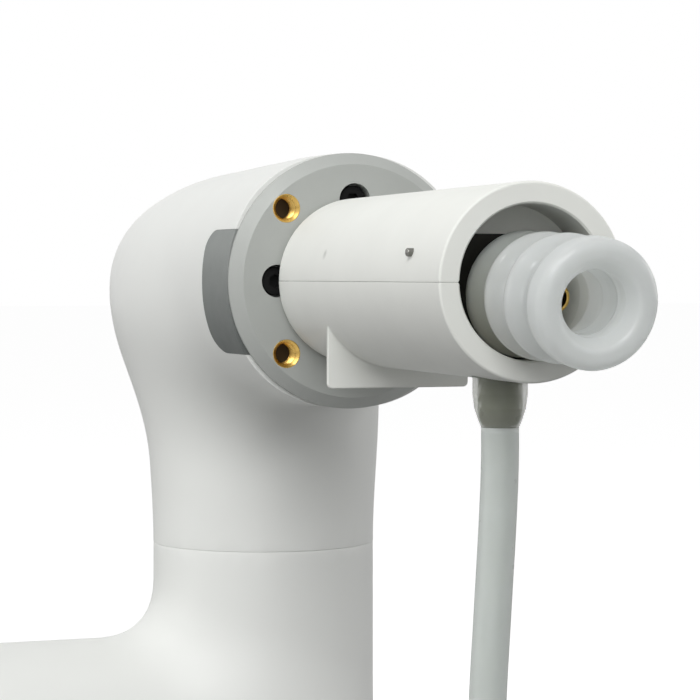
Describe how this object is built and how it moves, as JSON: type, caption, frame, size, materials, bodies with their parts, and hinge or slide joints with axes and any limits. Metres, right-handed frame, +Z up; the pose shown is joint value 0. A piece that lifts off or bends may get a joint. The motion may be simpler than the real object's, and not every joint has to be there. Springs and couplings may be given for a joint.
{
  "type": "robot wrist with vacuum gripper",
  "caption": "Robot arm wrist with two turning joints, a bolt-circle tool flange and a tubular vacuum gripper: a soft bellows cup at its open end and a hose that hangs from its underside.",
  "frame": {"origin": "centre of the forearm's mounting face", "axes": "+Z up along joint 5, +X along the forearm into the part, the tool points along -Y"},
  "size_m": [0.1643, 0.2714, 0.3675],
  "materials": {
    "housing_paint": "satin off-white paint on cast aluminium",
    "flange_grey": "matt grey anodised aluminium",
    "body_plastic": "satin warm-white moulded plastic",
    "clear_silicone": "milky translucent silicone",
    "brass": "turned brass",
    "black_plastic": "dark moulded plastic",
    "release_ring": "smooth blue-grey plastic",
    "black_steel": "black oxide steel",
    "steel": "ground steel",
    "winding_copper": "varnished copper windings on a laminated core",
    "window_lens": "smoked translucent plastic",
    "board_green": "circuit board",
    "seal_rubber": "light grey rubber"
  },
  "bodies": {
    "forearm": {"forearm_housing": "housing_paint", "forearm_end_ring": "flange_grey", "end_ring_screws": "black_steel", "bottom_cap": "housing_paint", "bottom_cap_screws": "black_steel", "j5_bearing_outer": "steel", "j5_circular_spline": "steel", "j5_stator": "winding_copper", "j5_encoder": "board_green", "j5_seal": "seal_rubber"},
    "j5_motor": {"j5_rotor": "steel"},
    "wrist": {"wrist_housing": "housing_paint", "status_window": "window_lens", "j5_output_hub": "flange_grey", "j5_bearing_inner": "steel", "j5_flexspline": "steel", "j6_bearing_outer": "steel", "j6_circular_spline": "steel", "j6_stator": "winding_copper", "j6_encoder": "board_green", "j6_seal": "seal_rubber"},
    "j6_motor": {"j6_rotor": "steel"},
    "tool": {"tool_flange": "flange_grey", "threaded_inserts": "brass", "flange_screws": "black_steel", "j6_bearing_inner": "steel", "j6_flexspline": "steel", "upper_shell": "body_plastic", "lower_shell": "body_plastic", "rear_adaptor": "black_plastic", "adaptor_screw": "black_steel", "retaining_pins": "steel", "vacuum_manifold": "black_plastic", "cup_nipple": "brass", "cup_collar": "clear_silicone", "cup_bellows": "clear_silicone", "hose_barb": "black_plastic", "hose_end": "clear_silicone", "vacuum_hose": "clear_silicone", "hose_connector": "black_plastic", "connector_release_ring": "release_ring"},
    "cup": {"cup_lip": "clear_silicone"}
  },
  "joints": [
    {"name": "joint5_turn", "type": "hinge", "parent": "forearm", "child": "wrist", "pos_m": [0.125, 0, 0], "axis": [0, 0, 1], "range_deg": [-30, 210]},
    {"name": "joint5_motor_spin", "type": "hinge", "parent": "forearm", "child": "j5_motor", "pos_m": [0.125, 0, 0], "axis": [0, 0, 1], "range_deg": [-10500, 1500]},
    {"name": "joint6_turn", "type": "hinge", "parent": "wrist", "child": "tool", "pos_m": [0.125, -0.0705, 0.128], "axis": [0, -1, 0], "range_deg": [-360, 360]},
    {"name": "joint6_motor_spin", "type": "hinge", "parent": "wrist", "child": "j6_motor", "pos_m": [0.125, -0.0705, 0.128], "axis": [0, -1, 0], "range_deg": [-18000, 18000]},
    {"name": "cup_press", "type": "slide", "parent": "tool", "child": "cup", "axis": [0, 0.9993, 0.0384], "range_m": [0, 0.008], "stiffness_N_per_m": 300, "deforming": ["cup_bellows"]}
  ],
  "couplings": [
    {"joint": "joint5_motor_spin", "follows": "joint5_turn", "ratio": -50},
    {"joint": "joint6_motor_spin", "follows": "joint6_turn", "ratio": -50}
  ]
}
